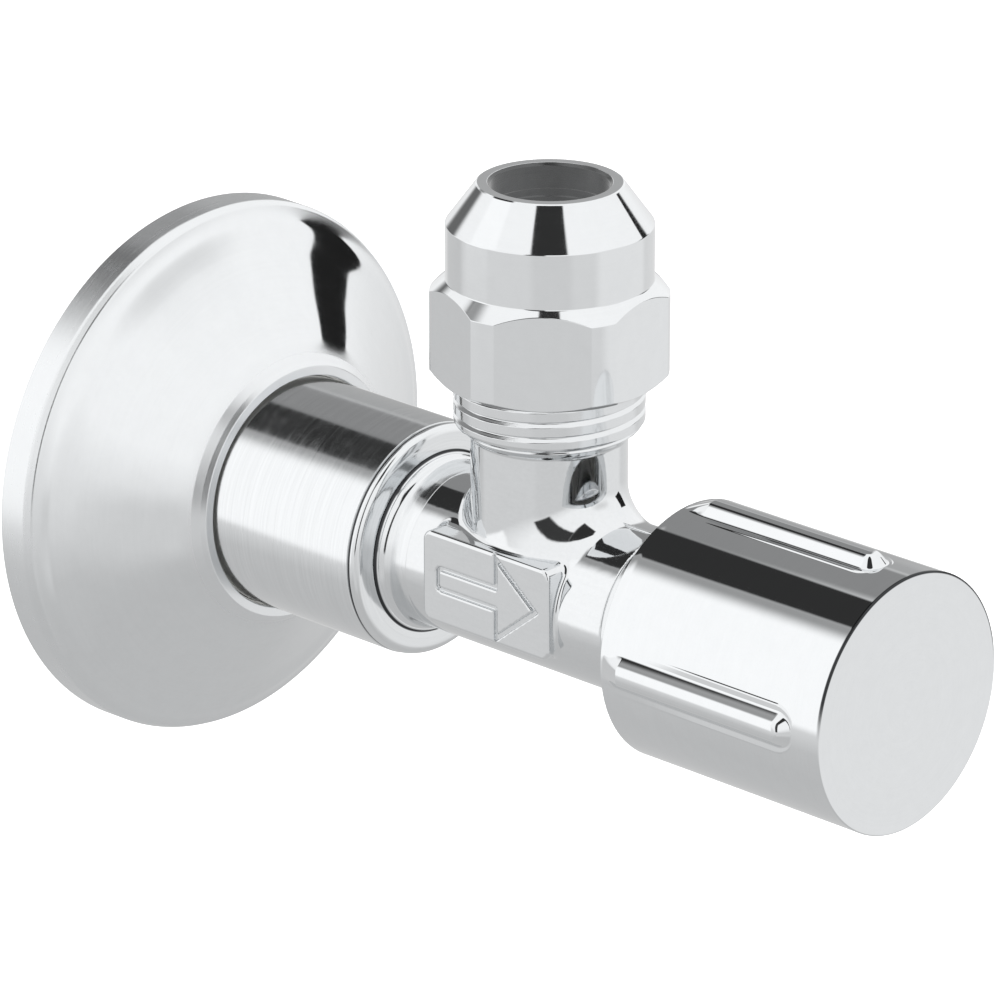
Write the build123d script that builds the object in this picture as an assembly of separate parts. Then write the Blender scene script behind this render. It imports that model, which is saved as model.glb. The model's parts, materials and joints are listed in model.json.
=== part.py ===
from build123d import *
import os
from math import cos, sin, pi, radians

# Angle stop valve, G1/2 wall inlet, G3/8 compression outlet for a 10 mm tube.
# Frame: the inlet axis is Y. The wall is the plane y = 0 with the room at -Y,
# the outlet points up along +Z. In this file s = -y is the distance from the wall.

# ---- driving dimensions (mm) ----
S_OUT = 43.5            # outlet axis to the wall
R_G12 = 10.4775         # G1/2 thread, major radius
S_THREAD0, S_THREAD1 = -12.0, 8.0
R_BARREL = 10.65        # turned inlet barrel
S_BARREL0, S_SHOULDER = 9.5, 29.25
R_BODY = 7.4            # forged body tube
S_BODY1 = 56.4          # front end of the body
R_NECK = 6.85           # outlet neck
R_G38 = 8.33            # G3/8 thread, major radius
Z_THR0, Z_THR1 = 13.6, 26.4
R_SOCKET, Z_SOCKET = 5.12, 14.0     # 10 mm tube socket
R_PORT = 3.6
R_INLET = 6.0
R_SEAT, S_SEAT = 3.2, 38.2          # seat bore and the plane of its lip
R_CHAMBER, S_CHAMBER = 5.4, 37.2
R_BONBORE, S_BONBORE = 6.0, 47.3    # bore that takes the bonnet
PAD_X, PAD_S0, PAD_S1, PAD_Z0, PAD_Z1 = -8.1, 36.0, 51.0, -3.4, 5.0

R_ROSE = 25.0           # escutcheon
T_ROSE = 0.8
S_ROSE_NECK = 12.6

AF_NUT = 19.0           # compression nut
R_NUT_CORNER = 10.37
R_NUT_CYL, R_NUT_TOP = 9.0, 6.33
Z_NUT0, Z_NUT_CYL, Z_NUT_CONE, Z_NUT1 = 18.9, 27.9, 32.8, 36.45
R_NUT_HOLE, R_NUT_THREAD = 5.15, 8.45

R_COLLAR, S_COLLAR0, S_COLLAR1 = 7.9, 56.7, 59.2   # bonnet flange
R_BON_NECK, S_BON1 = 6.2, 72.0
R_PISTON = 4.6
RUN = 0.05              # radial running clearance
TRAVEL = 3.125          # 2.5 turns of a 1.25 mm lead

R_HANDLE, S_HANDLE0, S_HANDLE1 = 11.45, 60.0, 84.2
R_HANDLE_IN = 10.0
# grip ribs: a thin base that follows the handle, then sides sloping up to a narrow top, and a round nose
RIB_BASE_W, RIB_BASE_H = 4.4, 0.12
RIB_W, RIB_TOP_W, RIB_H = 3.14, 1.26, 1.0
S_RIB0, S_RIB1 = 60.4, 81.6


def rev(pts):
    """Revolve a closed (r, s) outline about the inlet axis."""
    return revolve(make_face(Polyline([(r, -s) for r, s in pts], close=True)), Axis.Y, 360)


def ring(ri, ro, s0, s1):
    return rev([(ri, s0), (ro, s0), (ro, s1), (ri, s1)])


def rod(r, s0, s1):
    return rev([(0, s0), (r, s0), (r, s1), (0, s1)])


def rev_z(pts, s=S_OUT):
    """Revolve a closed (r, z) outline about the outlet axis."""
    f = Plane.XZ * make_face(Polyline([(r, z) for r, z in pts], close=True))
    return Pos(0, -s, 0) * revolve(f, Axis.Z, 360)


def torus_ring(rc, rs, s):
    f = Pos(rc, -s) * Circle(rs)
    return revolve(f, Axis.Y, 360)


def arc_pts(cr, cs, rad, a0, a1, n=8):
    return [(cr + rad * cos(radians(a0 + (a1 - a0) * i / n)),
             cs + rad * sin(radians(a0 + (a1 - a0) * i / n))) for i in range(n + 1)]


def star(ro, ri, n, s0, s1):
    """Splined shaft outline, n teeth."""
    pts = []
    for i in range(n):
        for k, r in ((0.0, ri), (0.30, ri), (0.45, ro), (0.85, ro)):
            a = 2 * pi * (i + k) / n
            pts.append((r * cos(a), r * sin(a)))
    f = Plane.XZ * make_face(Polyline(pts, close=True))
    return Pos(0, -s0, 0) * extrude(f, amount=(s1 - s0), dir=(0, -1, 0))


def gap_cut(s0, s1, w, length=12.0):
    """Slot used to open a C-shaped ring on its underside."""
    return Pos(0, -(s0 + s1) / 2, -length / 2) * Box(w, s1 - s0 + 1, length)


parts = {}

# ---- valve body: forged tee, turned inlet barrel, two male threads ----
G0, G1 = S_THREAD1, S_BARREL0
outer = rev([(0, S_THREAD0), (9.5, S_THREAD0), (R_G12, S_THREAD0 + 1.0), (R_G12, G0), (9.3, G0 + 0.01), (9.3, G1 - 0.01),
             (R_BARREL, G1), (R_BARREL, S_SHOULDER), (R_BARREL - 0.15, S_SHOULDER + 0.1)]
            + [(10.55, 29.45), (10.50, 29.75), (10.35, 30.0), (10.0, 30.25), (9.5, 30.42), (8.9, 30.5), (8.4, 30.55), (8.15, 30.75),
               (7.95, 31.2), (7.75, 32.0), (7.55, 33.2), (R_BODY, 34.6), (R_BODY, S_BODY1), (0, S_BODY1)])
neck = Pos(0, -S_OUT, 0) * Cylinder(R_NECK, Z_THR0 + 0.6, align=(Align.CENTER, Align.CENTER, Align.MIN))
solid = outer + neck
weld = [e for e in solid.edges()
        if e.geom_type not in (GeomType.CIRCLE, GeomType.LINE) and 1.0 < e.center().Z < 9 and abs(e.center().Y + S_OUT) < 9]
try:
    solid = fillet(weld, 2.6)
except Exception as err:
    print("neck fillet left out:", err)
pad = Box(-PAD_X, PAD_S1 - PAD_S0, PAD_Z1 - PAD_Z0)
pad = fillet(pad.edges().filter_by(Axis.X), 1.0)
pad = chamfer(pad.faces().sort_by(Axis.X)[0].edges(), 0.2)
solid = solid + Pos(PAD_X / 2, -(PAD_S0 + PAD_S1) / 2, (PAD_Z0 + PAD_Z1) / 2) * pad
thread = rev_z([(0, Z_THR0), (R_NECK, Z_THR0), (R_G38, Z_THR0 + 0.7), (R_G38, Z_THR1 - 0.7), (R_G38 - 0.7, Z_THR1), (0, Z_THR1)])
solid = solid + thread
bores = (rev([(0, S_THREAD0 - 1), (R_INLET + 0.6, S_THREAD0 - 1), (R_INLET + 0.6, S_THREAD0), (R_INLET, S_THREAD0 + 0.6),
              (R_INLET, 32.5), (R_SEAT, 35.0), (R_SEAT, S_SEAT + 0.5), (0, S_SEAT + 0.5)])
         + ring(R_SEAT + 0.8, R_CHAMBER, S_CHAMBER, S_SEAT + 0.2) + rod(R_CHAMBER, S_SEAT, S_BONBORE + 0.1)
         + rod(R_BONBORE, S_BONBORE, S_BODY1 + 1)
         + rev_z([(0, 0), (R_PORT, 0), (R_PORT, Z_SOCKET - 1.2), (R_SOCKET, Z_SOCKET), (R_SOCKET, Z_THR1 - 1.23), (R_SOCKET + 1.23, Z_THR1),
                  (R_SOCKET + 1.23, Z_THR1 + 1), (0, Z_THR1 + 1)]))
parts["valve_body"] = solid - bores

# sealing ring of the self-sealing inlet, in the run-out groove behind the thread
parts["inlet_sealing_ring"] = ring(9.32, 10.0, G0 + 0.15, G1 - 0.15)

# ---- escutcheon: pressed brass shell with a short neck ----
shell_out = [(R_ROSE, 0.0), (R_ROSE - 0.05, 2.6)] + arc_pts(R_ROSE - 1.45, 2.9, 1.4, 5, 62, 7) + \
            [(23.2, 4.45), (22.3, 4.90), (21.4, 5.40), (20.5, 5.95), (18.5, 7.25), (16.5, 8.62), (14.5, 10.02), (13.2, 11.0),
             (12.6, 11.55), (12.1, 12.2), (11.75, S_ROSE_NECK)]
shell_in = [(10.85, S_ROSE_NECK), (10.85, 11.85), (11.85, 11.80), (11.85, 9.9), (13.0, 9.9), (14.3, 9.15), (16.2, 7.85), (18.2, 6.45), (20.1, 5.15),
            (21.0, 4.60), (22.0, 4.05), (22.9, 3.65), (23.6, 3.25), (24.0, 2.8), (R_ROSE - T_ROSE, 2.3), (R_ROSE - T_ROSE, 0.0)]
parts["escutcheon"] = rev(shell_out + shell_in)
# plastic ring that grips the barrel inside the escutcheon's neck
parts["escutcheon_grip_ring"] = ring(R_BARREL + RUN, 11.80, 10.0, 11.75)

# ---- compression joint at the outlet ----
hexa = Pos(0, -S_OUT, Z_NUT0) * extrude(RegularPolygon(AF_NUT / 2, 6, major_radius=False, rotation=0), amount=Z_NUT_CYL - Z_NUT0)
turned = rev_z([(0, Z_NUT0), (9.35, Z_NUT0), (R_NUT_CORNER, Z_NUT0 + 0.62), (R_NUT_CORNER, Z_NUT_CYL - 1.25), (R_NUT_CYL, Z_NUT_CYL), (0, Z_NUT_CYL)])
top = rev_z([(0, Z_NUT_CYL - 0.5), (R_NUT_CYL, Z_NUT_CYL - 0.5), (R_NUT_CYL, Z_NUT_CONE), (R_NUT_TOP + 0.06, Z_NUT1 - 0.1), (R_NUT_TOP - 0.08, Z_NUT1), (0, Z_NUT1)])
HEX_TURN = 9.1          # the nut's flats, turned from the square position about the outlet axis
hexa = Pos(0, -S_OUT, 0) * Rot(0, 0, HEX_TURN) * Pos(0, S_OUT, 0) * hexa
nut = (hexa & turned) + top
nut_bore = rev_z([(0, Z_NUT0 - 1), (R_NUT_THREAD + 0.5, Z_NUT0 - 1), (R_NUT_THREAD + 0.5, Z_NUT0), (R_NUT_THREAD, Z_NUT0 + 0.5), (R_NUT_THREAD, 27.0),
                  (7.0, 27.0), (7.0, 27.6), (R_NUT_HOLE, 31.3), (R_NUT_HOLE, Z_NUT1 - 0.25), (R_NUT_HOLE + 0.25, Z_NUT1), (R_NUT_HOLE + 0.25, Z_NUT1 + 1), (0, Z_NUT1 + 1)])
parts["compression_nut"] = nut - nut_bore
parts["compression_ferrule"] = rev_z([(5.10, 25.5), (5.32, 25.5), (6.57, 26.75), (6.75, 27.0), (6.75, 27.6), (5.50, 30.3), (5.10, 30.3)])

# ---- bonnet (headwork housing) ----
bon = rev([(0, 47.4), (R_BONBORE - 0.03, 47.4), (R_BONBORE - 0.03, S_COLLAR0), (R_COLLAR - 0.25, S_COLLAR0), (R_COLLAR, S_COLLAR0 + 0.25),
           (R_COLLAR, S_COLLAR1 - 0.35), (R_COLLAR - 0.35, S_COLLAR1), (R_BON_NECK, S_COLLAR1), (R_BON_NECK, S_BON1 - 0.3), (R_BON_NECK - 0.3, S_BON1), (0, S_BON1)])
S_KEY0, S_KEY1, S_STEP = 57.8, 62.35, 64.6
FLAT = 3.9              # half width between the bonnet's two inner flats
bon = bon - rod(R_PISTON + RUN, 47.0, S_KEY0)
key_bore = rod(R_PISTON + RUN, S_KEY0 - 0.1, S_KEY1) & (Pos(0, -60, 0) * Box(2 * FLAT, 20, 20))
bon = bon - key_bore - rod(3.95, S_KEY1 - 0.1, S_STEP) - rod(3.05, S_STEP - 0.1, S_BON1 + 1)
bon = bon - ring(5.18, 7.0, 48.2, 49.2)
parts["bonnet"] = bon
parts["bonnet_gasket"] = ring(R_BONBORE, 7.25, S_BODY1, S_COLLAR0)
parts["bonnet_o_ring"] = torus_ring(5.59, 0.40, 48.7)

# ---- spindle: turns with the handle, left-hand thread into the piston ----
sp = (rod(2.5, 52.0, 62.5) + rod(3.8, 62.5, 63.95) + rod(3.0, 63.9, 73.4) + star(2.95, 2.6, 18, 73.4, 80.2))
sp = sp - ring(1.95, 3.2, 66.0, 67.2) - ring(1.95, 3.2, 69.0, 70.2) - ring(2.45, 3.2, 72.15, 72.85)
parts["spindle"] = sp
parts["spindle_o_rings"] = Compound(children=[torus_ring(2.50, 0.52, 66.6), torus_ring(2.50, 0.52, 69.6)])
parts["thrust_washer"] = ring(3.03, 3.85, 64.0, 64.55)
parts["retaining_clip"] = ring(2.47, 4.4, 72.2, 72.8) - gap_cut(72.2, 72.8, 3.2)

# ---- piston with its washer: slides, does not turn ----
pi_s = (rod(R_PISTON - 0.05, 40.2, 41.8) + rod(2.9, 41.7, 47.6) + rod(R_PISTON, 47.5, 54.6))
tail = rod(R_PISTON, 54.5, 59.0) & (Pos(0, -57, 0) * Box(2 * (FLAT - RUN), 8, 20))
pi_s = pi_s + tail
pi_s = pi_s - rod(2.55, 47.8, 60) - ring(3.1, 6.0, 48.9, 50.7) - rod(1.28, 39, 44.8)
parts["valve_piston"] = pi_s
parts["piston_o_ring"] = torus_ring(3.87, 0.75, 49.8)
parts["seat_washer"] = ring(1.5, 4.4, 38.25, 40.2)
screw = rod(1.25, 38.2, 44.4) + rev([(0, 37.2), (1.6, 37.2), (2.2, 37.6), (2.2, 38.25), (0, 38.25)])
screw = screw - (Pos(0, -37.35, 0) * Box(0.6, 0.7, 6))
parts["washer_screw"] = screw

# ---- handle, its splined insert and snap ring ----
cup = rev([(R_HANDLE_IN, S_HANDLE0), (R_HANDLE - 0.25, S_HANDLE0), (R_HANDLE, S_HANDLE0 + 0.25), (R_HANDLE, S_HANDLE1 - 0.2),
           (R_HANDLE - 0.2, S_HANDLE1), (0, S_HANDLE1), (0, 82.2), (R_HANDLE_IN, 82.2)])


def rib():
    """Grip rib along the handle's top line, nose towards the front."""
    nose = S_RIB1 - 0.2 - RIB_W / 2
    r0, rb, rt = R_HANDLE - 1.0, R_HANDLE - 0.03, R_HANDLE + RIB_H
    half = [(-RIB_W / 2, r0), (-RIB_W / 2, rb), (-RIB_TOP_W / 2, rt), (RIB_TOP_W / 2, rt), (RIB_W / 2, rb), (RIB_W / 2, r0)]
    bar = Pos(0, -S_RIB0, 0) * extrude(Plane.XZ * make_face(Polyline(half, close=True)), amount=nose - S_RIB0, dir=(0, -1, 0))
    tip = Plane.XZ * make_face(Polyline([(0, r0), (RIB_W / 2, r0), (RIB_W / 2, rb), (RIB_TOP_W / 2, rt), (0, rt)], close=True))
    tip = Pos(0, -nose, 0) * revolve(tip, Axis.Z, 360)
    foot = S_RIB1 - RIB_BASE_W / 2
    base = (Pos(0, -(S_RIB0 + foot) / 2, R_HANDLE) * Box(RIB_BASE_W, foot - S_RIB0, 2)
            + Pos(0, -foot, R_HANDLE) * Cylinder(RIB_BASE_W / 2, 2))
    base = base & rod(R_HANDLE + RIB_BASE_H, S_RIB0 - 1, S_RIB1 + 1)
    return bar + tip + base


one = rib()
for k in range(4):
    cup = cup + Rot(0, 90 * k, 0) * one
parts["handle"] = cup
ins = (rod(5.2, 73.6, 82.2) + ring(8.9, R_HANDLE_IN - 0.03, 76.5, 82.2) + rod(R_HANDLE_IN - 0.03, 79.8, 82.2))
ins = ins - star(2.99, 2.64, 18, 73.0, 80.4) - ring(4.85, 5.6, 74.2, 75.6)
parts["handle_insert"] = ins
parts["insert_spring_ring"] = ring(4.87, 5.75, 74.3, 75.5) - gap_cut(74.3, 75.5, 2.4)

os.makedirs("parts", exist_ok=True)
for name, shape in parts.items():
    export_step(shape, f"parts/{name}.step")
    print(name, "solids", len(shape.solids()), "volume", round(shape.volume, 2), "valid", shape.is_valid)
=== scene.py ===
import bpy
import json
import math
import numpy as np
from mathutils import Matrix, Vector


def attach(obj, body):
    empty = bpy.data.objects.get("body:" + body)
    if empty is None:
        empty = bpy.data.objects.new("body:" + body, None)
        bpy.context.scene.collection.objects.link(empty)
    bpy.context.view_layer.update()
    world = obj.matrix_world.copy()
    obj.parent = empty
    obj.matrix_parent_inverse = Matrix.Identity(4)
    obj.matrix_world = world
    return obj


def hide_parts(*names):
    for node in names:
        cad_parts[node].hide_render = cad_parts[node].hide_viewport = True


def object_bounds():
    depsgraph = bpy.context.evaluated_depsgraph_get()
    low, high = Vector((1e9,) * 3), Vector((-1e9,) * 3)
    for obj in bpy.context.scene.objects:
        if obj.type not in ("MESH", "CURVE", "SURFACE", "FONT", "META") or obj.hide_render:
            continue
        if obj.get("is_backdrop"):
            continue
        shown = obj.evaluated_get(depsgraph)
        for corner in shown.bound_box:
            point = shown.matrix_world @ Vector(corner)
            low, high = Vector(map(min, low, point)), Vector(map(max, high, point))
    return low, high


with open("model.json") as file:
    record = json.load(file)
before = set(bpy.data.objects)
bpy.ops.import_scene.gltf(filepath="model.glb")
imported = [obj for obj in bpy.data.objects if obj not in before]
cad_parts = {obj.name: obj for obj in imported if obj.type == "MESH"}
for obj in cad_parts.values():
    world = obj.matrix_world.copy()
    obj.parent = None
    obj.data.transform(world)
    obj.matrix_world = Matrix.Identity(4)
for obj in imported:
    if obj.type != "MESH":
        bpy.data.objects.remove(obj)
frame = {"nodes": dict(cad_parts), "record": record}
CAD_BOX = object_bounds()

MM = 0.001
S_OUT = 43.5        # outlet axis to the wall, mm


# ------------------------------------------------------------------ mesh helpers
def unit(v):
    return v / np.maximum(np.linalg.norm(v, axis=-1, keepdims=True), 1e-12)


def build(name, V, F, N):
    """Mesh object from points in mm, lists of face index arrays and their corner normals."""
    V = np.asarray(V, float)
    FF, NN = [], []
    for f, n in zip(F, N):
        a = V[f[:, 0]]
        if f.shape[1] == 4:
            g = np.cross(V[f[:, 2]] - a, V[f[:, 3]] - V[f[:, 1]])
        else:
            g = np.cross(V[f[:, 1]] - a, V[f[:, 2]] - a)
        size = np.linalg.norm(g, axis=1)
        keep = size > 1e-9
        f, n, g = f[keep], n[keep], g[keep]
        flip = (g * n.mean(axis=1)).sum(axis=1) < 0
        f[flip] = f[flip][:, ::-1]
        n[flip] = n[flip][:, ::-1]
        FF.append(f)
        NN.append(n)
    me = bpy.data.meshes.new(name)
    me.vertices.add(len(V))
    me.vertices.foreach_set("co", (V * MM).astype(np.float32).ravel())
    idx = np.concatenate([f.ravel() for f in FF]).astype(np.int32)
    tot = np.concatenate([np.full(len(f), f.shape[1]) for f in FF]).astype(np.int32)
    start = np.concatenate([[0], np.cumsum(tot)[:-1]]).astype(np.int32)
    me.loops.add(len(idx))
    me.loops.foreach_set("vertex_index", idx)
    me.polygons.add(len(tot))
    me.polygons.foreach_set("loop_start", start)
    me.update(calc_edges=True)
    me.polygons.foreach_set("use_smooth", np.ones(len(tot), dtype=bool))
    nrm = unit(np.concatenate([n.reshape(-1, 3) for n in NN]))
    me.normals_split_custom_set(nrm.tolist())
    me.update()
    ob = bpy.data.objects.new(name, me)
    bpy.context.scene.collection.objects.link(ob)
    return ob


def soften(P, rad, seg=5, closed=True):
    """Round the corners of outlines P (T,K,2). rad 0 keeps a crease, -1 marks a point of a smooth curve.
    Gives the points and the outward normals before and after each one."""
    T, K, _ = P.shape
    d0 = P - np.roll(P, 1, axis=1)
    d1 = np.roll(P, -1, axis=1) - P
    l0, l1 = np.linalg.norm(d0, axis=2), np.linalg.norm(d1, axis=2)
    u0, u1 = unit(d0), unit(d1)
    q = np.roll(P, -1, axis=1)
    area = 0.5 * (P[..., 0] * q[..., 1] - q[..., 0] * P[..., 1]).sum(axis=1)
    sg = 1.0 if area[0] > 0 else -1.0

    def out(u):
        return sg * np.stack([u[..., 1], -u[..., 0]], axis=-1)

    pts, na, nb = [], [], []
    for k in range(K):
        if not closed and k in (0, K - 1):
            n = out(u1[:, k] if k == 0 else u0[:, k])
            pts.append(P[:, k]); na.append(n); nb.append(n)
            continue
        a, b = u0[:, k], u1[:, k]
        if rad[k] == 0:
            pts.append(P[:, k]); na.append(out(a)); nb.append(out(b))
            continue
        phi = np.arccos(np.clip((a * b).sum(axis=1), -1, 1))
        if rad[k] < 0 or phi.max() < 0.01:
            wa, wb = l1[:, k:k + 1], l0[:, k:k + 1]
            n = unit(out(a) * wa + out(b) * wb)
            pts.append(P[:, k]); na.append(n); nb.append(n)
            continue
        half = np.tan(phi / 2)
        t = np.minimum(rad[k] * half, 0.46 * np.minimum(l0[:, k], l1[:, k]))
        r = t / half
        turn = np.sign(a[:, 0] * b[:, 1] - a[:, 1] * b[:, 0])
        left = np.stack([-a[:, 1], a[:, 0]], axis=1) * turn[:, None]
        start = P[:, k] - a * t[:, None]
        c = start + left * r[:, None]
        for i in range(seg + 1):
            w = phi * i / seg * turn
            v = start - c
            v = np.stack([v[:, 0] * np.cos(w) - v[:, 1] * np.sin(w), v[:, 0] * np.sin(w) + v[:, 1] * np.cos(w)], axis=1)
            n = unit(v) * (turn * sg)[:, None]
            pts.append(c + v); na.append(n); nb.append(n)
    return np.stack(pts, axis=1), np.stack(na, axis=1), np.stack(nb, axis=1)


def place(axis, r, th, h):
    """Cylindrical (r, angle, height) in mm to the object's frame."""
    if axis == "in":
        return np.stack([r * np.cos(th), -h, r * np.sin(th)], axis=-1)
    return np.stack([r * np.cos(th), r * np.sin(th) - S_OUT, h], axis=-1)


def lean(axis, nr, nt, nh, th):
    """Cylindrical direction to the object's frame."""
    c, s = np.cos(th), np.sin(th)
    if axis == "in":
        return np.stack([nr * c - nt * s, -nh, nr * s + nt * c], axis=-1)
    return np.stack([nr * c - nt * s, nr * s + nt * c, nh], axis=-1)


def grid(name, P, NA, NB, closed=True):
    """Mesh from columns around an axis. P, NA, NB are (T,M,3). Ends at the axis close to one point."""
    T, M, _ = P.shape
    pole = [bool(np.ptp(P[:, i].reshape(-1, 3), axis=0).max() < 1e-7) for i in range(M)]
    V, index = [], np.zeros((T, M), int)
    n = 0
    for i in range(M):
        if pole[i]:
            V.append(P[:1, i]); index[:, i] = n; n += 1
        else:
            V.append(P[:, i]); index[:, i] = n + np.arange(T); n += T
    V = np.concatenate(V)
    j0, j1 = np.arange(T), (np.arange(T) + 1) % T
    q4, n4, q3, n3 = [], [], [], []
    for i in range(M if closed else M - 1):
        k = (i + 1) % M
        if pole[i] and pole[k]:
            continue
        if pole[i]:
            q3.append(np.stack([index[j0, i], index[j0, k], index[j1, k]], axis=1))
            n3.append(np.stack([NB[j0, i], NA[j0, k], NA[j1, k]], axis=1))
        elif pole[k]:
            q3.append(np.stack([index[j0, i], index[j1, i], index[j0, k]], axis=1))
            n3.append(np.stack([NB[j0, i], NB[j1, i], NA[j0, k]], axis=1))
        else:
            q4.append(np.stack([index[j0, i], index[j1, i], index[j1, k], index[j0, k]], axis=1))
            n4.append(np.stack([NB[j0, i], NB[j1, i], NA[j1, k], NA[j0, k]], axis=1))
    F, N = [], []
    if q4:
        F.append(np.concatenate(q4)); N.append(np.concatenate(n4))
    if q3:
        F.append(np.concatenate(q3)); N.append(np.concatenate(n3))
    return build(name, V, F, N)


def lathe(name, axis, outline, n=192, seg=6, closed=True):
    """Turned piece. outline is a list of (r, h, corner radius)."""
    a = np.array(outline, float)
    p, na, nb = soften(a[None, :, :2], a[:, 2], seg, closed)
    th = np.arange(n) * 2 * math.pi / n
    T = th[:, None]
    P = place(axis, p[..., 0] * np.ones_like(T), T, p[..., 1] * np.ones_like(T))
    if not closed:
        na[0, 0] = nb[0, 0]
    NA = lean(axis, na[..., 0] * np.ones_like(T), 0 * T, na[..., 1] * np.ones_like(T), T)
    NB = lean(axis, nb[..., 0] * np.ones_like(T), 0 * T, nb[..., 1] * np.ones_like(T), T)
    return grid(name, P, NA, NB, closed)


def curve(points, n):
    """Points on a smooth curve through the given ones, each marked as smooth."""
    p = np.array(points, float)
    t = np.concatenate([[0], np.cumsum(np.sqrt(np.linalg.norm(np.diff(p, axis=0), axis=1)))])
    m = len(p)
    A, B = np.zeros((m, m)), np.zeros((m, 2))
    h = np.diff(t)
    A[0, 0] = 2; A[0, 1] = 1; B[0] = 3 * (p[1] - p[0]) / h[0]
    A[-1, -1] = 2; A[-1, -2] = 1; B[-1] = 3 * (p[-1] - p[-2]) / h[-1]
    for i in range(1, m - 1):
        A[i, i - 1] = 1 / h[i - 1]; A[i, i + 1] = 1 / h[i]; A[i, i] = 2 * (1 / h[i - 1] + 1 / h[i])
        B[i] = 3 * ((p[i] - p[i - 1]) / h[i - 1] ** 2 + (p[i + 1] - p[i]) / h[i] ** 2)
    D = np.linalg.solve(A, B)
    out = []
    for u in np.linspace(t[0], t[-1], n):
        i = min(int(np.searchsorted(t, u, side="right")) - 1, m - 2)
        w = (u - t[i]) / h[i]
        q = ((2 * w ** 3 - 3 * w ** 2 + 1) * p[i] + (w ** 3 - 2 * w ** 2 + w) * h[i] * D[i]
             + (-2 * w ** 3 + 3 * w ** 2) * p[i + 1] + (w ** 3 - w ** 2) * h[i] * D[i + 1])
        out.append((q[0], q[1], -1))
    return out


def surface(name, axis, th, rows, R, back, tip):
    """Turned outline whose outer rows follow R(angle, h). back and tip are the outlines before and after them."""
    T = th[:, None]
    h = rows[None, :]
    e = 1e-4
    r = R(T, h)
    rt = (R(T + e, h) - R(T - e, h)) / (2 * e)
    rh = (R(T, h + 1e-3) - R(T, h - 1e-3)) / 2e-3
    nrm = lean(axis, np.ones_like(r), -rt / r, -rh, T)
    nrm = unit(nrm)
    P = [place(axis, r, T, h * np.ones_like(T))]
    NA, NB = [nrm], [nrm]
    for part, where in ((back, 0), (tip, 1)):
        a = np.array(part, float)
        p = np.repeat(a[None, :, :2], len(th), axis=0)
        edge = r[:, 0] if where == 0 else r[:, -1]
        hh = rows[0] if where == 0 else rows[-1]
        # values above 1000 in an outline are counted from the edge of the moving surface
        p[..., 0] = np.where(p[..., 0] > 500, edge[:, None] + p[..., 0] - 1000, p[..., 0])
        ends = np.stack([edge, np.full(len(th), hh)], axis=1)[:, None]
        p = np.concatenate([p, ends], axis=1) if where == 0 else np.concatenate([ends, p], axis=1)
        rad = np.concatenate([a[:, 2], [0]]) if where == 0 else np.concatenate([[0], a[:, 2]])
        q, na, nb = soften(p, rad, 5, closed=False)
        flag = 1.0
        # outward sense from the first straight run, which is checked against the outer rows
        ref = np.array([1.0, 0.0])
        k = -1 if where == 0 else 0
        if (na[0, k] @ ref) < -0.2:
            flag = -1.0
        na, nb = na * flag, nb * flag
        q3 = place(axis, q[..., 0], T, q[..., 1])
        a3 = lean(axis, na[..., 0], 0, na[..., 1], T)
        b3 = lean(axis, nb[..., 0], 0, nb[..., 1], T)
        if where == 0:
            P.insert(0, q3[:, :-1]); NA.insert(0, a3[:, :-1]); NB.insert(0, b3[:, :-1])
        else:
            P.append(q3[:, 1:]); NA.append(a3[:, 1:]); NB.append(b3[:, 1:])
    return np.concatenate(P, axis=1), np.concatenate(NA, axis=1), np.concatenate(NB, axis=1)


def thread_form(u):
    """Rounded 55 degree form, 1 on the crest and 0 in the root, u in turns."""
    k = 0.97
    return 0.5 + 0.5 * np.arcsin(k * np.cos(2 * math.pi * u)) / math.asin(k)


# ------------------------------------------------------------------ nodes
class Tree:
    def __init__(self, tree):
        self.t = tree

    def node(self, kind, **props):
        n = self.t.nodes.new(kind)
        for k, v in props.items():
            setattr(n, k, v)
        return n

    def put(self, n, key, v):
        s = n.inputs[key]
        if hasattr(v, "is_output") or isinstance(v, bpy.types.NodeSocket):
            self.t.links.new(v, s)
        else:
            s.default_value = v

    def math(self, op, *a, clamp=False):
        n = self.node("ShaderNodeMath", operation=op, use_clamp=clamp)
        for i, v in enumerate(a):
            self.put(n, i, v)
        return n.outputs[0]

    def step(self, v, a, b, lo=0.0, hi=1.0, kind="SMOOTHSTEP"):
        n = self.node("ShaderNodeMapRange", interpolation_type=kind)
        for i, x in enumerate((v, a, b, lo, hi)):
            self.put(n, i, x)
        return n.outputs[0]

    def noise(self, vec, scale, detail=3.0, rough=0.5, distortion=0.0):
        n = self.node("ShaderNodeTexNoise")
        if vec is not None:
            self.put(n, "Vector", vec)
        self.put(n, "Scale", scale); self.put(n, "Detail", detail); self.put(n, "Roughness", rough)
        self.put(n, "Distortion", distortion)
        return n.outputs["Fac"]

    def vector(self, x, y, z):
        n = self.node("ShaderNodeCombineXYZ")
        for i, v in enumerate((x, y, z)):
            self.put(n, i, v)
        return n.outputs[0]

    def ramp(self, v, stops):
        n = self.node("ShaderNodeValToRGB")
        e = n.color_ramp.elements
        while len(e) > 1:
            e.remove(e[-1])
        e[0].position, e[0].color = stops[0][0], tuple(stops[0][1]) + (1,)
        for p, c in stops[1:]:
            k = e.new(p)
            k.color = tuple(c) + (1,)
        self.put(n, 0, v)
        return n.outputs["Color"]

    def bump(self, height, strength, dist, normal=None):
        n = self.node("ShaderNodeBump")
        self.put(n, "Height", height); self.put(n, "Strength", strength); self.put(n, "Distance", dist)
        if normal is not None:
            self.put(n, "Normal", normal)
        return n.outputs[0]


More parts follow.
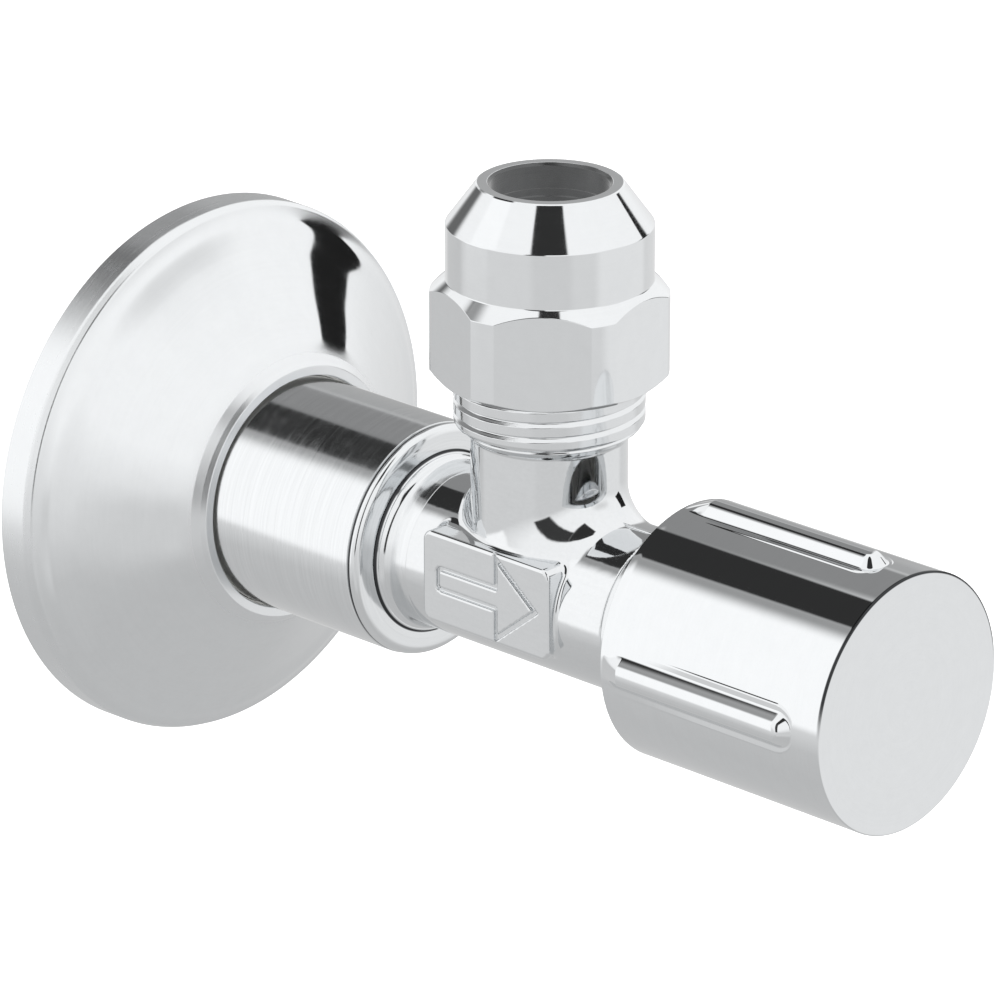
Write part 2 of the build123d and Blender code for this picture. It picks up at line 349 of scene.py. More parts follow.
def material(name):
    m = bpy.data.materials.new(name)
    m.use_nodes = True
    m.node_tree.nodes.clear()
    T = Tree(m.node_tree)
    out = T.node("ShaderNodeOutputMaterial")
    b = T.node("ShaderNodeBsdfPrincipled")
    m.node_tree.links.new(b.outputs[0], out.inputs[0])
    co = T.node("ShaderNodeTexCoord").outputs["Object"]
    x = T.node("ShaderNodeSeparateXYZ")
    T.put(x, 0, co)
    return m, T, b, co, x.outputs


def grey(a, b, tint=(0.968, 0.986, 1.0)):
    return [a * t for t in tint], [b * t for t in tint]


def turned(name, axis, base, rough, marks, depth, neck=None, streak=0.035, painted_shade_bands=()):
    """Chrome on turned metal: fine rings around the axis, a little broad unevenness, faint haze.
    marks is the number of rings per mm, depth their height in mm, neck the radius in mm inside which the polish is
    duller, as it is on the escutcheon's brushed rim. streak is how far the rings vary in brightness. The last argument
    lists bands (r, r, h, h, upper) in mm where the base colour is painted near black as shade in grooves and at edges,
    the ones marked upper on the upper half only."""
    m, T, b, co, x = material(name)
    if axis == "in":
        a, p, h = x[0], x[2], x[1]
    else:
        a, p, h = x[0], T.math("ADD", x[1], S_OUT * MM), x[2]
    r = T.math("SQRT", T.math("ADD", T.math("MULTIPLY", a, a), T.math("MULTIPLY", p, p)))
    ang = T.math("ARCTAN2", p, a)
    k = marks * 1000.0
    rings = T.vector(T.math("MULTIPLY", r, k), T.math("MULTIPLY", h, k), T.math("MULTIPLY", ang, 0.9))
    fine = T.noise(rings, 1.0, 2.0, 0.6)
    broad = T.noise(co, 160.0, 3.0, 0.5)
    haze = T.noise(co, 700.0, 4.0, 0.65)
    lo, hi = grey(base - streak, base)
    share = 0.35 if streak < 0.05 else 0.8
    b_col = T.ramp(T.math("MULTIPLY_ADD", fine, share, T.math("MULTIPLY", haze, 1 - share)), [(0.25, lo), (0.75, hi)])
    # painted shade: each band darkens the base colour towards near black in a groove or at an edge, where shade falls
    for r0, r1, h0, h1, upper in painted_shade_bands:
        dark = T.math("MULTIPLY", T.step(r, (r0 - 0.05) * MM, (r0 + 0.05) * MM), T.step(r, (r1 - 0.05) * MM, (r1 + 0.05) * MM, 1.0, 0.0))
        away = T.math("MULTIPLY", h, -1.0) if axis == "in" else h
        dark = T.math("MULTIPLY", dark, T.math("MULTIPLY", T.step(away, (h0 - 0.05) * MM, (h0 + 0.05) * MM), T.step(away, (h1 - 0.05) * MM, (h1 + 0.05) * MM, 1.0, 0.0)))
        # bands marked upper are painted dark on the upper half only
        if upper:
            dark = T.math("MULTIPLY", dark, T.step(x[2], 0.0, 3.5 * MM))
        mix = T.node("ShaderNodeMix", data_type="RGBA")
        T.put(mix, 0, dark)
        T.put(mix, 6, b_col)
        # near-black colour of the painted shade
        T.put(mix, 7, (0.05, 0.052, 0.055, 1.0))
        b_col = mix.outputs[2]
    T.put(b, "Base Color", b_col)
    T.put(b, "Metallic", 1.0)
    rr = T.step(T.math("MULTIPLY_ADD", fine, 0.5, T.math("MULTIPLY", haze, 0.5)), 0.3, 0.75, rough * 0.75, rough * 1.5)
    if neck is not None:
        rr = T.math("ADD", rr, T.step(r, (neck - 0.9) * MM, (neck + 0.9) * MM, 0.24, 0.0))
        rr = T.math("ADD", rr, T.step(r, 23.3 * MM, 24.5 * MM, 0.0, 0.20))
    T.put(b, "Roughness", rr)
    n1 = T.bump(fine, 1.0, depth * MM)
    n2 = T.bump(broad, 0.35, 0.012 * MM, n1)
    T.put(b, "Normal", n2)
    return m


def forged(name, base, rough):
    """Chrome on a polished forging: soft waviness and fine random marks."""
    m, T, b, co, x = material(name)
    broad = T.noise(co, 260.0, 3.0, 0.5)
    fine = T.noise(co, 2600.0, 4.0, 0.6)
    streak = T.noise(T.vector(T.math("MULTIPLY", x[0], 900.0), T.math("MULTIPLY", x[1], 140.0), T.math("MULTIPLY", x[2], 900.0)), 4.0, 2.0, 0.6)
    lo, hi = grey(base - 0.04, base)
    T.put(b, "Base Color", T.ramp(T.math("MULTIPLY_ADD", fine, 0.5, T.math("MULTIPLY", streak, 0.5)), [(0.28, lo), (0.72, hi)]))
    T.put(b, "Metallic", 1.0)
    T.put(b, "Roughness", T.step(T.math("MULTIPLY_ADD", fine, 0.4, T.math("MULTIPLY", streak, 0.6)), 0.3, 0.75, rough * 0.7, rough * 1.5))
    n = T.bump(broad, 0.5, 0.05 * MM)
    n = T.bump(fine, 0.4, 0.0012 * MM, n)
    T.put(b, "Normal", n)
    return m


def rubber(name, dark, light, rough, metallic=0.0, scale=1500.0, depth=0.01, tint=(1, 1, 1)):
    m, T, b, co, x = material(name)
    grain = T.noise(co, scale, 4.0, 0.6)
    big = T.noise(co, scale / 9.0, 3.0, 0.5)
    T.put(b, "Base Color", T.ramp(T.math("MULTIPLY_ADD", grain, 0.6, T.math("MULTIPLY", big, 0.4)),
                                  [(0.3, [dark * t for t in tint]), (0.7, [light * t for t in tint])]))
    T.put(b, "Metallic", metallic)
    T.put(b, "Roughness", T.step(grain, 0.3, 0.75, rough * 0.8, min(1.0, rough * 1.25)))
    T.put(b, "Normal", T.bump(grain, 0.6, depth * MM))
    return m


# the barrel's two bands are painted shade, in its narrow groove and in the valley at its end
M_BARREL = turned("chrome_barrel_turned", "in", 0.84, 0.11, 4.5, 0.0010, None, 0.09, [(9.9, 10.59, 29.18, 29.36, False), (8.12, 8.42, 29.9, 30.46, False)])
M_BODY = forged("chrome_forged", 0.80, 0.055)
M_ROSE = turned("chrome_escutcheon", "in", 0.83, 0.055, 5.0, 0.00016, 13.2)
# the handle's band is a painted dark line of shade at the edge of its end face, upper half only
M_HANDLE = turned("chrome_handle", "in", 0.82, 0.035, 4.0, 0.00006, None, 0.035, [(11.26, 11.6, 83.98, 84.4, True)])
M_COLLAR = turned("chrome_collar", "in", 0.78, 0.08, 8.0, 0.0003)
M_NUT = turned("chrome_nut", "out", 0.82, 0.06, 7.0, 0.00016)
M_BORE = turned("nut_bore_unpolished", "out", 0.14, 0.26, 9.0, 0.0006)
M_THREAD = turned("chrome_outlet_thread", "out", 0.78, 0.09, 9.0, 0.0002)
M_INTHREAD = turned("chrome_inlet_thread", "in", 0.76, 0.12, 9.0, 0.0003)
M_BRASS = rubber("brass_turned", 0.50, 0.62, 0.22, 1.0, 2500.0, 0.0006, (1.0, 0.80, 0.44))
M_RUBBER = rubber("black_rubber", 0.012, 0.03, 0.62)
M_PLASTIC = rubber("white_seal_plastic", 0.72, 0.84, 0.42, 0.0, 900.0, 0.006, (1.0, 0.99, 0.95))
M_FIBRE = rubber("grey_fibre", 0.10, 0.17, 0.75, 0.0, 2200.0, 0.02, (1.0, 0.97, 0.93))
M_STEEL = rubber("spring_steel", 0.42, 0.55, 0.25, 1.0, 2800.0, 0.0008)

SLOT_MATERIAL = {"chrome_body": M_BODY, "chrome_cover": M_ROSE, "chrome_nut": M_NUT, "chrome_handle": M_HANDLE,
                 "brass": M_BRASS, "rubber": M_RUBBER, "seal_plastic": M_PLASTIC, "fibre": M_FIBRE, "spring_steel": M_STEEL}
for sub in frame["record"]["subparts"]:
    ob = frame["nodes"][sub["node"]]
    mat = SLOT_MATERIAL[sub["material_slot"]]
    if len(ob.material_slots) == 0:
        ob.data.materials.append(mat)
    for ms in ob.material_slots:
        ms.material = mat


def fit(ob, mat, body, slot, *nodes):
    ob.data.materials.append(mat)
    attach(ob, body)
    if nodes:
        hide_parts(*nodes)
    return ob


# ------------------------------------------------------------------ escutcheon
R1 = 25.0
flare = curve([(23.62, 4.16), (23.2, 4.45), (22.3, 4.92), (21.4, 5.40), (20.5, 5.95), (18.5, 7.25), (16.5, 8.62), (14.5, 10.02), (13.2, 10.98)], 42)
rose = [(24.2, 0.0, 0.12), (R1, 0.0, 0.15), (R1 - 0.05, 2.9, 1.0), (24.62, 3.62, 0.5)] + flare + [
    (12.6, 11.5, 0.8), (12.05, 12.15, 0.8), (11.75, 12.6, 0.14), (10.86, 12.6, 0.12), (10.86, 11.86, 0.05), (11.84, 11.80, 0.0), (11.84, 9.9, 0.1),
    (13.0, 9.9, 0.2)] + curve([(14.3, 9.15), (16.2, 7.85), (18.2, 6.45), (20.1, 5.15), (21.0, 4.60), (22.0, 4.05), (22.9, 3.65), (23.6, 3.25)], 16) + [
    (24.0, 2.8, 0.4), (24.2, 2.3, 0.3)]
fit(lathe("escutcheon_shell", "in", rose, 256), M_ROSE, "escutcheon", "chrome_cover", "escutcheon")

# ------------------------------------------------------------------ inlet barrel and its thread
barrel = [(6.02, 7.9, 0.0), (9.25, 7.9, 0.0), (9.25, 9.3, 0.1), (10.45, 9.5, 0.1), (10.65, 9.7, 0.1), (10.65, 29.14, 0.05), (10.48, 29.20, 0.03), (10.48, 29.36, 0.03),
          (10.56, 29.44, 0.05)] + curve([(10.57, 29.55), (10.50, 29.82), (10.30, 30.04), (9.95, 30.18), (9.4, 30.25), (8.85, 30.27), (8.45, 30.26)], 24) + [
          (8.30, 30.24, 0.05), (8.22, 30.42, 0.06), (8.10, 30.56, 0.05), (8.02, 30.56, 0.04)] + curve([(7.90, 30.66), (7.66, 30.95), (7.50, 31.6), (7.43, 32.6)], 16) + [
          (7.41, 33.2, 0.0), (7.30, 33.8, 0.0), (6.02, 33.8, 0.0)]
fit(lathe("inlet_barrel", "in", barrel, 224), M_BARREL, "body", "chrome_body", "valve_body")


def in_thread(th, h):
    r = 9.316 + (10.4775 - 9.316) * thread_form(h / 1.814 - th / (2 * math.pi))
    return np.minimum(r, np.minimum(9.5 + (h + 12.0) * 1.0, 9.3 + (8.0 - h) * 1.3) + 0 * th)


th = np.arange(168) * 2 * math.pi / 168
P, NA, NB = surface("inlet_thread", "in", th, np.linspace(-11.98, 8.0, 245), in_thread,
                    [(6.0, 8.02, 0.0), (6.0, -11.4, 0.1), (6.6, -12.0, 0.08)], [(6.0, 8.02, 0.0)])
fit(grid("inlet_thread", P, NA, NB, closed=True), M_INTHREAD, "body", "chrome_body", "valve_body")


# ------------------------------------------------------------------ outlet thread
def out_thread(th, h):
    form = np.clip(thread_form(h / 1.337 - th / (2 * math.pi) + 0.15) / 0.40, 0, 1)
    r = 7.86 + (8.33 - 7.86) * form * form * (3 - 2 * form)
    fade = np.clip((h - 13.5) / 1.7, 0, 1) + 0 * th
    fade = fade * fade * (3 - 2 * fade)
    return np.minimum(6.87 + (r - 6.87) * fade, 7.63 + (26.4 - h) * 1.0 + 0 * th)


th = np.arange(176) * 2 * math.pi / 176
P, NA, NB = surface("outlet_thread", "out", th, np.linspace(13.5, 26.4, 300), out_thread,
                    [(5.12, 25.17, 0.1), (5.12, 14.0, 0.1), (4.4, 13.3, 0.1), (4.4, 12.9, 0.05), (6.6, 12.9, 0.0), (6.78, 13.4, 0.0)],
                    [(6.35, 26.4, 0.1)])
fit(grid("outlet_thread", P, NA, NB, closed=True), M_THREAD, "body", "chrome_body", "valve_body")


# ------------------------------------------------------------------ forged body
def join(a, b, r):
    u, v = np.maximum(r - a, 0), np.maximum(r - b, 0)
    return np.maximum(r, np.minimum(a, b)) - np.sqrt(u * u + v * v)


def meet(a, b, r):
    u, v = np.maximum(r + a, 0), np.maximum(r + b, 0)
    return np.minimum(-r, np.maximum(a, b)) + np.sqrt(u * u + v * v)


PAD_X, PAD_S0, PAD_S1, PAD_Z0, PAD_Z1 = -8.1, 36.0, 51.0, -3.4, 5.0


def box2(u, v, hu, hv, r):
    a, b = np.abs(u) - hu + r, np.abs(v) - hv + r
    return np.minimum(np.maximum(a, b), 0) + np.hypot(np.maximum(a, 0), np.maximum(b, 0)) - r


def arrow(s, z):
    """Plain flow arrow on the pad, pointing the way the water runs."""
    c = np.abs(z - 0.8)
    shaft = box2(s - 41.6, c, 3.6, 0.75, 0.2)
    head = np.maximum((s - 49.0) * 0.62 + c * 0.78, 44.9 - s)
    return join(shaft, head, 0.12)


def body(P):
    x, y, z = P[..., 0], P[..., 1], P[..., 2]
    s = -y
    tube = np.hypot(x, z) - 7.4
    neck = np.maximum(np.hypot(x, s - S_OUT) - 6.85, -z)
    run = np.clip((s - 39.5) / 8.0, 0, 1)
    d = join(tube, neck, 1.15 + 1.75 * run * run * (3 - 2 * run))
    # parting line left by the dies, on the vertical plane through both axes
    ridge = np.maximum(np.abs(x) - 0.16 - np.clip((tube - 0.0), -9, 0.6) * -0.3, tube - 0.16)
    d = np.where(z > 0, join(d, np.maximum(ridge, 51.2 - s), 0.10), d)
    # side pad
    plate = meet(box2(s - (PAD_S0 + PAD_S1) / 2, z - (PAD_Z0 + PAD_Z1) / 2, (PAD_S1 - PAD_S0) / 2, (PAD_Z1 - PAD_Z0) / 2, 1.0),
                 np.maximum(PAD_X - x, x), 0.28)
    d = join(d, plate, 0.45)
    # the arrow stands in a shallow outline groove, level with the pad's face
    mark = arrow(s, z)
    groove = np.maximum(np.abs(mark - 0.22) - 0.20, np.abs(x - PAD_X) - 0.30)
    d = meet(d, -groove, 0.12)
    # ends
    d = meet(d, s - 56.4, 0.18)
    d = meet(d, 33.0 - s, 0.05)
    d = meet(d, z - 13.62, 0.05)
    # waterways
    r = np.hypot(x, z)
    bore = np.maximum(r - 5.4, 37.2 - s)
    bore = np.minimum(bore, np.maximum(r - 6.0, 47.3 - s))
    bore = np.minimum(bore, r - 3.2)
    lip = np.maximum(np.maximum(r - 4.0, s - 38.2), -(r - 3.2))
    bore = np.maximum(bore, -lip)
    port = np.maximum(np.hypot(x, s - S_OUT) - 3.6, -z)
    port = np.minimum(port, np.maximum(np.hypot(x, s - S_OUT) - 5.12, 14.0 - z))
    bore = np.minimum(bore, port)
    return meet(d, -bore, 0.12)


def slope(f, P, e=0.004):
    g = np.empty_like(P)
    for k in range(3):
        q = P.copy(); q[..., k] += e
        a = f(q)
        q[..., k] -= 2 * e
        g[..., k] = (a - f(q)) / (2 * e)
    return g


def polygonise(name, f, lo, hi, step):
    """Closed mesh of the surface f = 0, its points moved onto it and its normals taken from f."""
    ax = [np.arange(a, b + step, step) for a, b in zip(lo, hi)]
    D = np.empty([len(a) for a in ax])
    for i, xv in enumerate(ax[0]):
        Y, Z = np.meshgrid(ax[1], ax[2], indexing="ij")
        D[i] = f(np.stack([np.full_like(Y, xv), Y, Z], axis=-1))
    D[np.abs(D) < 1e-9] = 1e-9
    I = D < 0
    c = np.zeros([n - 1 for n in D.shape], int)
    for a in (0, 1):
        for b in (0, 1):
            for e in (0, 1):
                c += I[a:D.shape[0] - 1 + a, b:D.shape[1] - 1 + b, e:D.shape[2] - 1 + e]
    cells = np.argwhere((c > 0) & (c < 8))
    index = -np.ones(c.shape, int)
    index[tuple(cells.T)] = np.arange(len(cells))
    acc, cnt = np.zeros((len(cells), 3)), np.zeros(len(cells))
    corner = [(a, b, e) for a in (0, 1) for b in (0, 1) for e in (0, 1)]
    for p in corner:
        for k in range(3):
            if p[k]:
                continue
            q = list(p); q[k] = 1
            A, B = cells + np.array(p), cells + np.array(q)
            da, db = D[tuple(A.T)], D[tuple(B.T)]
            hit = (da < 0) != (db < 0)
            w = np.where(hit, da / np.where(hit, da - db, 1), 0)[:, None]
            acc += np.where(hit[:, None], A + w * (B - A), 0)
            cnt += hit
    V = acc / cnt[:, None] * step + np.array(lo)
    faces = []
    for k in range(3):
        a, b = [m for m in range(3) if m != k]
        sl0, sl1 = [slice(None)] * 3, [slice(None)] * 3
        sl0[k], sl1[k] = slice(0, -1), slice(1, None)
        E = np.argwhere(I[tuple(sl0)] != I[tuple(sl1)])
        E = E[(E[:, a] > 0) & (E[:, b] > 0) & (E[:, a] < c.shape[a]) & (E[:, b] < c.shape[b])]
        quad = []
        for oa, ob_ in ((1, 1), (0, 1), (0, 0), (1, 0)):
            q = E.copy(); q[:, a] -= oa; q[:, b] -= ob_
            quad.append(index[tuple(q.T)])
        faces.append(np.stack(quad, axis=1))
    Fq = np.concatenate(faces)
    Fq = Fq[(Fq >= 0).all(axis=1)]
    for _ in range(4):
        g = slope(f, V)
        m = f(V) / np.maximum((g * g).sum(axis=1), 0.2)
        V = V - np.clip(m, -0.4 * step, 0.4 * step)[:, None] * g
    n = unit(slope(f, V))
    return build(name, V, [Fq], [n[Fq]])


STEP = 0.15
fit(polygonise("forged_body", body, (-8.6, -56.8, -7.9), (7.9, -32.6, 14.1), STEP), M_BODY, "body", "chrome_body", "valve_body")

# ------------------------------------------------------------------ bonnet
bonnet = [(5.97, 47.4, 0.1), (5.97, 56.7, 0.0), (7.9, 56.7, 0.22), (7.9, 59.2, 0.3), (6.2, 59.2, 0.2), (6.2, 72.0, 0.3), (3.05, 72.0, 0.1), (3.05, 64.6, 0.0),
          (3.95, 64.6, 0.0), (3.95, 59.9, 0.0), (4.65, 57.8, 0.0), (4.65, 47.4, 0.1)]
fit(lathe("bonnet_turned", "in", bonnet, 192), M_COLLAR, "body", "chrome_body", "bonnet")

# ------------------------------------------------------------------ compression nut and ferrule
FACE = math.radians(219.1)


def hex_r(th):
    a = (th - FACE + math.pi / 6) % (math.pi / 3) - math.pi / 6
    h = 9.5 / np.cos(a)
    k = 0.02
    m = np.minimum(h, 10.37)
    return m - k * np.log(np.exp(-(h - m) / k) + np.exp(-(10.37 - m) / k))


def nut_outline(th):
    R = hex_r(th)
    o = np.ones_like(R)
    zb = 18.9 + (R - 9.35) / 1.02 * 0.62
    zt = 26.65 + (10.37 - R) / 1.37 * 1.25
    rows = [(8.95 * o, 18.9 * o, 0.1), (9.35 * o, 18.9 * o, 0.08), (R, zb, 0.1), (R, zt, 0.1), (9.0 * o, 27.9 * o, 0.14), (9.0 * o, 32.8 * o, 0.16),
            (6.39 * o, 36.35 * o, 0.10), (6.25 * o, 36.45 * o, 0.05), (5.4 * o, 36.45 * o, 0.06), (5.15 * o, 36.2 * o, 0.06), (5.15 * o, 34.2 * o, 0.02), (5.27 * o, 34.1 * o, 0.02),
            (5.27 * o, 33.5 * o, 0.02), (5.15 * o, 33.4 * o, 0.02), (5.15 * o, 31.3 * o, 0.05), (7.0 * o, 27.6 * o, 0.05), (7.0 * o, 27.0 * o, 0.03), (8.45 * o, 27.0 * o, 0.0), (8.45 * o, 19.4 * o, 0.05)]
    P = np.stack([np.stack([a, b], axis=-1) for a, b, _ in rows], axis=1)
    return P, [c for _, _, c in rows]


cut = math.acos(9.5 / 10.37)
part = []
for k in range(6):
    mid = FACE + k * math.pi / 3
    part += list(mid + np.linspace(-cut + 0.035, cut - 0.035, 19)) + list(mid + cut + np.linspace(-0.028, 0.028, 15)) + \
        list(mid + np.linspace(cut + 0.04, math.pi / 3 - cut - 0.04, 6)) + list(mid + math.pi / 3 - cut + np.linspace(-0.028, 0.028, 15))
th = np.array(part)
e = 1e-4
out0, rads = nut_outline(th)
p0, na, nb = soften(out0, rads, 5)
pp = soften(nut_outline(th + e)[0], rads, 5)[0]
pm = soften(nut_outline(th - e)[0], rads, 5)[0]
T = th[:, None]
Pn = place("out", p0[..., 0], T, p0[..., 1])
dth = place("out", pp[..., 0], T + e, pp[..., 1]) - place("out", pm[..., 0], T - e, pm[..., 1])


def across(n2):
    t = lean("out", -n2[..., 1], 0, n2[..., 0], T)
    v = unit(np.cross(t, dth))
    w = lean("out", n2[..., 0], 0, n2[..., 1], T)
    return v * np.sign((v * w).sum(axis=-1, keepdims=True))


nut = fit(grid("compression_nut_turned", Pn, across(na), across(nb)), M_NUT, "nut", "chrome_nut", "compression_nut")
nut.visible_glossy = False
nut.data.materials.append(M_BORE)
mid = np.empty(len(nut.data.polygons) * 3, np.float32)
nut.data.polygons.foreach_get("center", mid)
mid = mid.reshape(-1, 3) / MM
inner = np.hypot(mid[:, 0], mid[:, 1] + S_OUT) < np.where(mid[:, 2] > 31.0, 5.32, 8.6)
nut.data.polygons.foreach_set("material_index", np.where(inner, 1, 0).astype(np.int32))
nut.data.update()
bpy.data.objects["outlet_thread"].visible_glossy = False
bpy.data.objects["escutcheon_shell"].visible_glossy = False

ferrule = [(5.10, 25.5, 0.05), (5.32, 25.5, 0.05), (6.6, 26.8, 0.2), (6.74, 27.3, 0.2), (6.5, 27.9, 0.3), (5.5, 30.3, 0.1), (5.10, 30.3, 0.05)]
fit(lathe("ferrule_turned", "out", ferrule, 128), M_BRASS, "ferrule", "brass", "compression_ferrule").visible_glossy = False


# ------------------------------------------------------------------ handle
R_H, RIB_END = 11.45, 81.6


def soft_min(a, b, k):
    h = np.clip(0.5 + 0.5 * (b - a) / k, 0, 1)
    return b * (1 - h) + a * h - k * h * (1 - h)


def soft_max(a, b, k):
    return -soft_min(-a, -b, k)


def rib_height(th, s):
    """Grip rib above the handle's surface: flat base, sloping sides, narrow crowned top, round nose."""
    a = (th + math.pi / 4) % (math.pi / 2) - math.pi / 4
    w, z0 = R_H * np.sin(a), R_H * np.cos(a)
    grow = np.clip((s - 60.3) / 11.0, 0, 1)
    half = 2.12
    d = np.hypot(w, np.maximum(s - (RIB_END - half), 0)) - half
    e = np.hypot(w, np.maximum(s - (RIB_END - 0.25 - 1.57), 0))
    sec = soft_min(R_H + 1.0 - 0.20 * e * e, R_H + 1.0 - (e - 0.62) * 1.16, 0.20)
    base = soft_min(R_H - 0.05 + 0 * d, R_H - 0.05 - d * 1.3, 0.10)
    base = z0 + (base - z0) * grow
    z = soft_max(sec, base, 0.13)
    ramp = np.clip((s - 60.3) / 2.4, 0, 1)
    return soft_max((z - z0) * ramp * np.cos(a), 0.0 * z, 0.04) - 0.01 * (z < z0 - 1)


def handle_r(th, s):
    return R_H + rib_height(th, s)


part = []
fine = np.concatenate([[-2.5, -2.35], np.linspace(-2.28, -2.04, 11), np.linspace(-1.98, -1.78, 5), np.linspace(-1.72, -1.36, 15), np.linspace(-1.30, -0.90, 6),
                       np.linspace(-0.86, -0.42, 15), np.linspace(-0.36, 0.36, 9)])
fine = np.concatenate([fine, -fine[:-9][::-1]])
fine = np.arcsin(np.unique(np.round(fine, 5)) / R_H)
for k in range(4):
    mid = k * math.pi / 2
    part += list(mid + fine) + list(np.linspace(mid + 2.8 / R_H, mid + math.pi / 2 - 2.8 / R_H, 20))
th = np.array(part)
rows = np.concatenate([[60.12, 60.25], np.linspace(60.35, 62.9, 18), np.linspace(63.6, 79.0, 14), np.linspace(79.1, 81.8, 84), np.linspace(82.1, 83.9, 4)])
P, NA, NB = surface("handle", "in", th, rows, handle_r,
                    [(10.0, 60.0, 0.1), (1000 - 0.12, 60.0, 0.10)],
                    [(R_H, 84.2, 0.16), (0.0, 84.2, 0.0)])
# the cup's inside closes the outline: from the middle of the face back to the bore's mouth
Tc = th[:, None]
q, _, nb = soften(np.repeat(np.array([[[0.0, 82.2], [10.0, 82.2], [10.0, 60.0]]]), len(th), axis=0), [0, 0.3, 0], 5, closed=False)
nb = np.abs(nb)
q3 = place("in", q[..., 0], Tc, q[..., 1])
f3 = lean("in", -nb[..., 0], 0, -nb[..., 1], Tc)
P = np.concatenate([q3[:, :-1], P], axis=1)
NA = np.concatenate([f3[:, :-1], NA], axis=1)
NB = np.concatenate([f3[:, :-1], NB], axis=1)
fit(grid("handle_cup", P, NA, NB, closed=False), M_HANDLE, "handle", "chrome_handle", "handle")


# ------------------------------------------------------------------ studio
def lin(v):
    """Display grey, 0 to 255, to scene light."""
    c = v / 255.0
    return c / 12.92 if c <= 0.04045 else ((c + 0.055) / 1.055) ** 2.4


world = bpy.data.worlds.new("studio")
bpy.context.scene.world = world
world.use_nodes = True
world.node_tree.nodes.clear()
W = Tree(world.node_tree)
d = W.node("ShaderNodeSeparateXYZ")
W.put(d, 0, W.node("ShaderNodeTexCoord").outputs["Generated"])
X, Y, Z = d.outputs
EL = W.math("MULTIPLY", W.math("ARCSINE", Z), 180 / math.pi)
AZ = W.math("MULTIPLY", W.math("ARCTAN2", X, Y), 180 / math.pi)
level = W.ramp(W.math("DIVIDE", W.math("ADD", EL, 90.0), 180.0),
               [((e + 90) / 180, [v, v, v]) for e, v in ((-90, 0.60), (-50, 0.59), (-32, 0.63), (-20, 0.79), (-4, 0.95), (8, 1.10), (90, 1.15))])
bw = W.node("ShaderNodeRGBToBW")
W.put(bw, 0, level)
L = bw.outputs[0]
# cards and gaps round the object: azimuth from, to, height from, to, softness, light
CARDS = [
    (-60, -28, -17, 48, 3, 1.20), (-31, -17, 39, 59, 6, 0.38), (8, 56, 22, 51.5, 3, 0.30), (38, 56, -12, 22, 3, 0.45), (-20, 19, 43, 62, 1.5, 0.035), (-158, -106, 46, 82, 2, 0.035), (-128, -106, -8, 47, 2, 0.05),
    (-6, 20, 2, 18, 5, 0.16), (-157, -113, -36, -10, 6, 0.74), (102, 173, -36, -10, 6, 0.92), (140, 170, 10, 29, 9, 0.86), (-20, 20, -36, -6, 6, 0.66),
]
for a0, a1, e0, e1, soft, v in CARDS:
    m = W.math("MULTIPLY", W.step(AZ, a0 - soft, a0 + soft), W.step(AZ, a1 - soft, a1 + soft, 1.0, 0.0))
    m = W.math("MULTIPLY", m, W.math("MULTIPLY", W.step(EL, e0 - soft, e0 + soft), W.step(EL, e1 - soft, e1 + soft, 1.0, 0.0)))
    L = W.math("ADD", W.math("MULTIPLY", L, W.math("SUBTRACT", 1.0, m)), W.math("MULTIPLY", m, v))
# one black card hangs slanted: limits along the two diagonals
U, V2 = W.math("ADD", AZ, EL), W.math("SUBTRACT", EL, AZ)
m = W.math("MULTIPLY", W.step(U, 100.0, 101.2), W.step(U, 122.4, 123.6, 1.0, 0.0))
m = W.math("MULTIPLY", m, W.math("MULTIPLY", W.step(V2, -118.0, -116.8), W.step(V2, -81.6, -80.4, 1.0, 0.0)))
L = W.math("MULTIPLY", L, W.math("SUBTRACT", 1.0, W.math("MULTIPLY", m, 0.985)))
seen = W.node("ShaderNodeLightPath").outputs["Is Camera Ray"]
L = W.math("ADD", W.math("MULTIPLY", L, W.math("SUBTRACT", 1.0, seen)), seen)
bg = W.node("ShaderNodeBackground")
W.put(bg, "Strength", L)
W.put(bg, "Color", (1.0, 1.0, 1.0, 1.0))
wo = W.node("ShaderNodeOutputWorld")
world.node_tree.links.new(bg.outputs[0], wo.inputs[0])

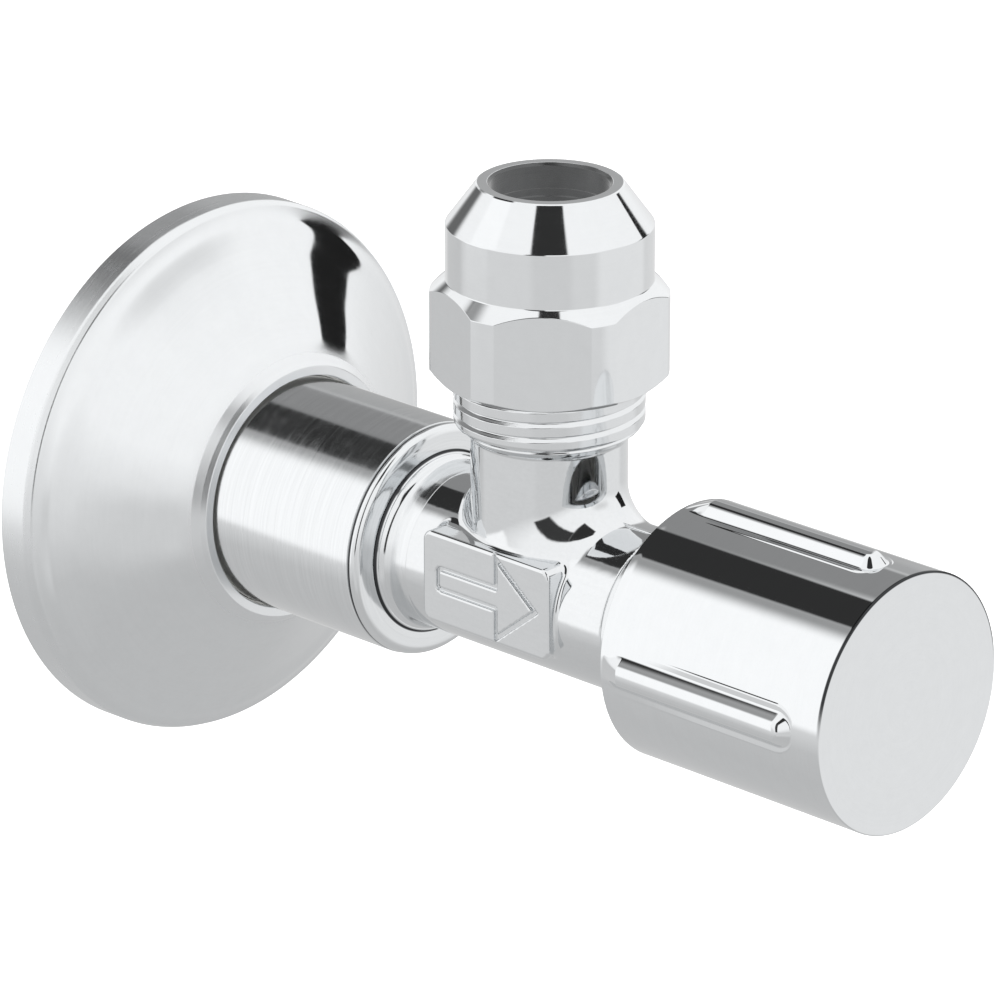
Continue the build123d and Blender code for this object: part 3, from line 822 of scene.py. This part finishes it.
# pale floor, well below the piece
fm, T, b, co, x = material("studio_floor")
T.put(b, "Base Color", T.ramp(T.noise(co, 3.0, 2.0), [(0.3, (0.90, 0.90, 0.90)), (0.7, (0.93, 0.93, 0.93))]))
T.put(b, "Roughness", 0.9)
T.put(b, "Emission Color", (1.0, 1.0, 1.0, 1.0))
T.put(b, "Emission Strength", 0.62)
# seen from underneath the floor is clear, so that the piece shows from below too
mixer, clear = T.node("ShaderNodeMixShader"), T.node("ShaderNodeBsdfTransparent")
T.put(mixer, 0, T.node("ShaderNodeNewGeometry").outputs["Backfacing"])
fm.node_tree.links.new(b.outputs[0], mixer.inputs[1])
fm.node_tree.links.new(clear.outputs[0], mixer.inputs[2])
fm.node_tree.links.new(mixer.outputs[0], [n for n in fm.node_tree.nodes if n.bl_idname == "ShaderNodeOutputMaterial"][0].inputs[0])
n = 48
g = np.linspace(-4000, 4000, n)
fx, fy = np.meshgrid(g, g, indexing="ij")
V = np.stack([fx.ravel(), fy.ravel(), np.full(n * n, -75.0)], axis=1)
i = np.arange(n * n).reshape(n, n)
Fq = np.stack([i[:-1, :-1].ravel(), i[1:, :-1].ravel(), i[1:, 1:].ravel(), i[:-1, 1:].ravel()], axis=1)
floor = build("studio_floor", V, [Fq], [np.tile([0.0, 0, 1], (len(Fq), 4, 1))])
floor.data.materials.append(fm)
floor.visible_glossy = False
floor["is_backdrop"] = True

# ------------------------------------------------------------------ camera
cam = bpy.data.cameras.new("camera")
cam.sensor_width = 36.0
cam.lens = 214.46
cam.clip_start = 0.01
cam.clip_end = 50.0
cob = bpy.data.objects.new("camera", cam)
bpy.context.scene.collection.objects.link(cob)
cob.location = (-0.3538, -0.37243, 0.19367)
cob.rotation_euler = (math.radians(90 - 21.09), 0.0, math.radians(-46.58))
bpy.context.scene.camera = cob
bpy.context.scene.view_settings.view_transform = "Standard"
bpy.context.scene.view_settings.look = "None"

bpy.context.view_layer.update()
VIS_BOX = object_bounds()


def plain(v):
    return [plain(a) for a in v] if hasattr(v, "__len__") else float(v)


{"cad": plain(CAD_BOX), "visual": plain(VIS_BOX)}
